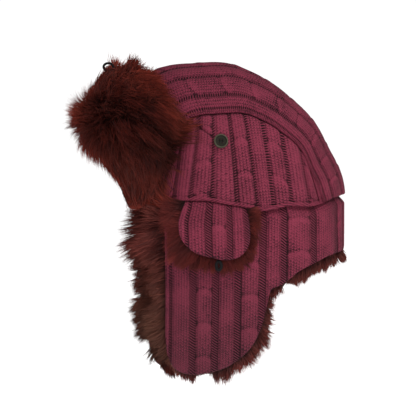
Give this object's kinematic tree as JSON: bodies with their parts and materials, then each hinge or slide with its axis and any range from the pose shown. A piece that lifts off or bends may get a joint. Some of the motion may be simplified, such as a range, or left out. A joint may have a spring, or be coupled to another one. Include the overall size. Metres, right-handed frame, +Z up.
{
  "type": "knit trapper hat with fur-lined earflaps",
  "caption": "Cable-knit winter hat with a turned-up fur front flap, long fur-lined earflaps, round-ended ear tabs, side buttons and elastic loops.",
  "frame": {"origin": "middle of the head opening, at the height of the crown's hem", "axes": "+Z up through the crown, -Y towards the face, +X towards the wearer's left"},
  "size_m": [0.202, 0.2921, 0.3357],
  "materials": {
    "knit": "plum cable knit, matt",
    "fur": "long dark red-brown imitation fur",
    "button": "dark olive grey, satin with a polished rim",
    "elastic": "black covered elastic cord, matt"
  },
  "bodies": {
    "root": {"crown_center_panel_front": "knit", "crown_center_panel_back": "knit", "crown_side_panel_left": "knit", "crown_side_panel_right": "knit", "earflap_band": "knit", "earflap_lining_fur": "fur", "front_flap": "knit", "front_flap_fur": "fur", "front_loop": "elastic", "ear_tab_left": "knit", "ear_tab_right": "knit", "ear_tab_fur_left": "fur", "ear_tab_fur_right": "fur", "side_button_left": "button", "side_button_right": "button", "tab_loop_left": "elastic", "tab_loop_right": "elastic"}
  },
  "joints": []
}
